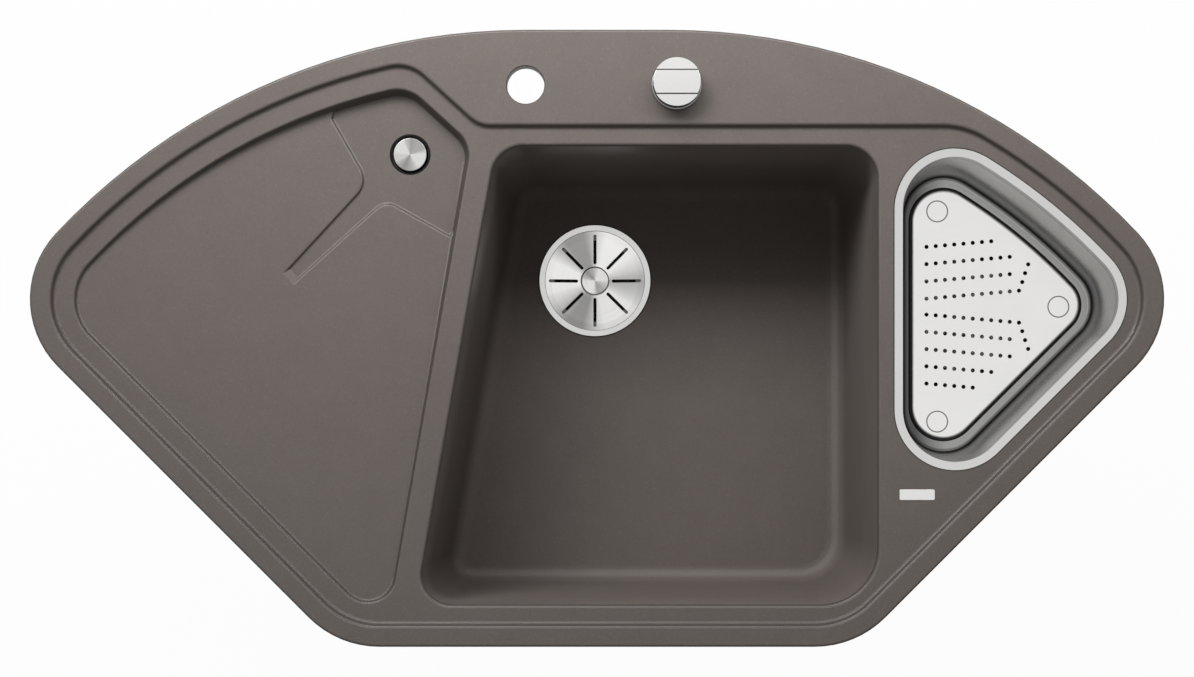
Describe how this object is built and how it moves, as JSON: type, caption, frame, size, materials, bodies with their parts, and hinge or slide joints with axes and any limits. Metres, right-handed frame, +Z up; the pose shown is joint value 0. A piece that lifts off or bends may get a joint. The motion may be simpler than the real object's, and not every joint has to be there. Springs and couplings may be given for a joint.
{
  "type": "corner kitchen sink",
  "caption": "Inset corner kitchen sink with drainer, main bowl, side bowl with lift-out strainer tray, open tap hole, rotary plug control, wastes and drain pipes.",
  "frame": {"origin": "centre of the deck outline's extents, on the underside of the rim where it lies on the worktop", "axes": "+X to the right, +Y towards the room corner behind the taps, +Z up out of the bowls"},
  "size_m": [1.0568, 0.575, 0.396],
  "materials": {
    "composite": "granite-filled composite, satin, fine grain",
    "pressed_steel": "pressed stainless steel, satin",
    "brushed_steel": "stainless steel, brushed",
    "satin_metal": "satin chrome plating",
    "zinc": "zinc-plated steel",
    "black_plastic": "moulded, matt black",
    "grey_plastic": "moulded, grey",
    "white_plastic": "moulded, white",
    "clear_plastic": "moulded, milky",
    "rubber": "black rubber"
  },
  "bodies": {
    "sink": {"sink_deck": "composite", "main_bowl": "composite", "side_bowl": "composite", "badge_plate": "brushed_steel", "knob_base_ring": "satin_metal", "knob_seal": "rubber", "knob_bush": "black_plastic", "knob_washer": "grey_plastic", "knob_lock_nut": "black_plastic", "knob_housing": "black_plastic", "control_cable_gland": "black_plastic", "main_waste_flange": "pressed_steel", "main_waste_nut": "black_plastic", "main_waste_body": "black_plastic", "side_waste_flange": "pressed_steel", "side_waste_nut": "black_plastic", "side_waste_body": "black_plastic", "waste_seals": "rubber", "waste_gaskets": "rubber", "main_lever_pin": "brushed_steel", "waste_cable_gland": "black_plastic", "drain_tee": "white_plastic", "drain_bend": "white_plastic", "link_pipe": "white_plastic", "slip_nuts": "white_plastic", "slip_seals": "rubber", "overflow_spider": "black_plastic", "overflow_screw": "brushed_steel", "overflow_gasket": "rubber", "overflow_body": "black_plastic", "clip_brackets": "zinc"},
    "control": {"knob_grip": "satin_metal", "knob_spindle": "brushed_steel", "cable_drum": "black_plastic"},
    "lift_lever": {"main_lift_lever": "black_plastic"},
    "lift_pin": {"main_lift_pin": "brushed_steel"},
    "main_strainer": {"main_strainer": "brushed_steel", "main_strainer_button": "brushed_steel", "main_plug": "grey_plastic", "main_plug_seal": "rubber"},
    "side_strainer": {"side_strainer": "brushed_steel", "side_strainer_button": "brushed_steel", "side_plug": "grey_plastic", "side_plug_seal": "rubber"},
    "tray": {"tray_pan": "pressed_steel", "tray_feet": "clear_plastic"},
    "overflow_cap": {"overflow_cap": "brushed_steel", "overflow_cap_clip": "black_plastic"},
    "clip_1": {"clip_screw_1": "zinc", "clip_claw_1": "grey_plastic"},
    "clip_2": {"clip_screw_2": "zinc", "clip_claw_2": "grey_plastic"},
    "clip_3": {"clip_screw_3": "zinc", "clip_claw_3": "grey_plastic"},
    "clip_4": {"clip_screw_4": "zinc", "clip_claw_4": "grey_plastic"},
    "clip_5": {"clip_screw_5": "zinc", "clip_claw_5": "grey_plastic"},
    "clip_6": {"clip_screw_6": "zinc", "clip_claw_6": "grey_plastic"}
  },
  "joints": [
    {"name": "control_turn", "type": "hinge", "parent": "sink", "child": "control", "pos_m": [0.0741, 0.236, 0.026], "axis": [0, 0, 1], "range_deg": [0, 135]},
    {"name": "lever_tilt", "type": "hinge", "parent": "sink", "child": "lift_lever", "pos_m": [0.0507, 0.0703, -0.2408], "axis": [0, 1, 0], "range_deg": [0, 12.77]},
    {"name": "pin_lift", "type": "slide", "parent": "sink", "child": "lift_pin", "axis": [0, 0, 1], "range_m": [0, 0.012]},
    {"name": "main_strainer_lift", "type": "slide", "parent": "lift_pin", "child": "main_strainer", "axis": [0, 0, 1], "range_m": [0, 0.235]},
    {"name": "side_strainer_lift", "type": "slide", "parent": "sink", "child": "side_strainer", "axis": [0, 0, 1], "range_m": [0, 0.04]},
    {"name": "tray_lift", "type": "slide", "parent": "sink", "child": "tray", "axis": [0, 0, 1], "range_m": [0, 0.09]},
    {"name": "cap_lift", "type": "slide", "parent": "sink", "child": "overflow_cap", "axis": [0, 0, 1], "range_m": [0, 0.025]},
    {"name": "clip_1_turn", "type": "hinge", "parent": "sink", "child": "clip_1", "pos_m": [0.30129, 0.21462, -0.044], "axis": [0, 0, -1], "range_deg": [0, 90]},
    {"name": "clip_2_turn", "type": "hinge", "parent": "sink", "child": "clip_2", "pos_m": [-0.30129, 0.21462, -0.044], "axis": [0, 0, -1], "range_deg": [0, 90]},
    {"name": "clip_3_turn", "type": "hinge", "parent": "sink", "child": "clip_3", "pos_m": [0.38637, -0.11, -0.044], "axis": [0, 0, -1], "range_deg": [0, 90]},
    {"name": "clip_4_turn", "type": "hinge", "parent": "sink", "child": "clip_4", "pos_m": [-0.38637, -0.11, -0.044], "axis": [0, 0, -1], "range_deg": [0, 90]},
    {"name": "clip_5_turn", "type": "hinge", "parent": "sink", "child": "clip_5", "pos_m": [-0.12, -0.2645, -0.044], "axis": [0, 0, -1], "range_deg": [0, 90]},
    {"name": "clip_6_turn", "type": "hinge", "parent": "sink", "child": "clip_6", "pos_m": [0.12, -0.2645, -0.044], "axis": [0, 0, -1], "range_deg": [0, 90]}
  ],
  "couplings": [
    {"joint": "pin_lift", "follows": "control_turn", "m_per_rad": 0.005093},
    {"joint": "lever_tilt", "follows": "control_turn", "ratio": 0.094509}
  ]
}
